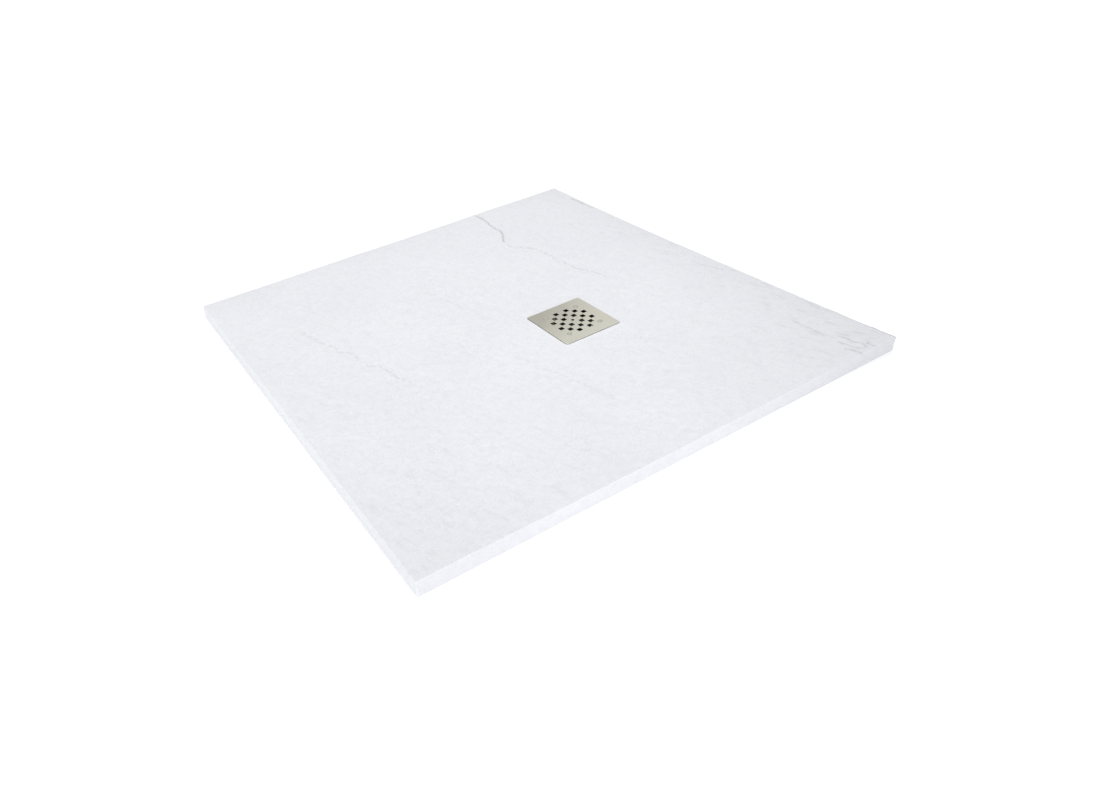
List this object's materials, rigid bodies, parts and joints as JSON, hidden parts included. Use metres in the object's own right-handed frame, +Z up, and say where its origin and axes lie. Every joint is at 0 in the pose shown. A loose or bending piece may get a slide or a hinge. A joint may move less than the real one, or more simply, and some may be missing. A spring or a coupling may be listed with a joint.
{
  "type": "shower tray",
  "caption": "Square low-profile stone-resin shower tray with a riven slate surface, a stainless grate and a trapped waste.",
  "frame": {"origin": "centre of the tray's flat underside, which is bedded on the floor; the waste trap hangs below it in the floor", "axes": "+X to the right, +Y to the back, +Z up, with the tray's top surface facing +Z"},
  "size_m": [0.9, 0.9, 0.12],
  "materials": {
    "gelcoat_stone": "matt white gelcoat over resin-bound marble powder, with a riven slate relief",
    "stainless_steel": "brushed stainless steel sheet with a slightly warm tone",
    "rivet_steel": "flush stainless rivet heads",
    "foot_rubber": "dark moulded rubber",
    "flange_steel": "pressed stainless steel",
    "screw_steel": "stainless steel screw",
    "black_rubber": "black rubber gasket",
    "foam_rubber": "dense closed-cell rubber",
    "trap_plastic": "dark grey moulded polypropylene",
    "insert_brass": "turned brass",
    "grey_plastic": "grey moulded polypropylene",
    "ring_rubber": "black rubber ring",
    "basket_plastic": "dark grey moulded polypropylene",
    "knob_plastic": "grey moulded plastic",
    "seal_rubber": "black tapered rubber seal",
    "washer_plastic": "natural nylon washer",
    "nut_plastic": "dark grey moulded polypropylene nut"
  },
  "bodies": {
    "tray": {"tray_body": "gelcoat_stone", "waste_flange": "flange_steel", "flange_screws": "screw_steel", "flange_gasket": "black_rubber", "trap_gasket": "foam_rubber", "trap_head": "trap_plastic", "trap_bowl": "trap_plastic", "outlet_spigot": "trap_plastic", "trap_inserts": "insert_brass", "outlet_seal": "seal_rubber", "outlet_washer": "washer_plastic"},
    "grate": {"grate_plate": "stainless_steel", "grate_rivets": "rivet_steel", "grate_foot_front_left": "foot_rubber", "grate_foot_front_right": "foot_rubber", "grate_foot_back_right": "foot_rubber", "grate_foot_back_left": "foot_rubber"},
    "hair_basket": {"hair_basket": "basket_plastic", "basket_knob": "knob_plastic"},
    "dip_tube": {"dip_tube": "grey_plastic", "dip_tube_ring": "ring_rubber"},
    "outlet_nut": {"outlet_nut": "nut_plastic"}
  },
  "joints": [
    {"name": "grate_lift", "type": "slide", "parent": "tray", "child": "grate", "axis": [0, 0, 1], "range_m": [0, 0.3]},
    {"name": "hair_basket_lift", "type": "slide", "parent": "tray", "child": "hair_basket", "axis": [0, 0, 1], "range_m": [0, 0.18]},
    {"name": "dip_tube_lift", "type": "slide", "parent": "tray", "child": "dip_tube", "axis": [0, 0, 1], "range_m": [0, 0.12]},
    {"name": "outlet_nut_turn", "type": "hinge", "parent": "tray", "child": "outlet_nut", "pos_m": [0.098, 0.02, -0.034], "axis": [0, 1, 0], "continuous": true}
  ],
  "couplings": [
    {"joint": "hair_basket_lift", "follows": "grate_lift", "ratio": 0.6},
    {"joint": "dip_tube_lift", "follows": "grate_lift", "ratio": 0.4}
  ]
}
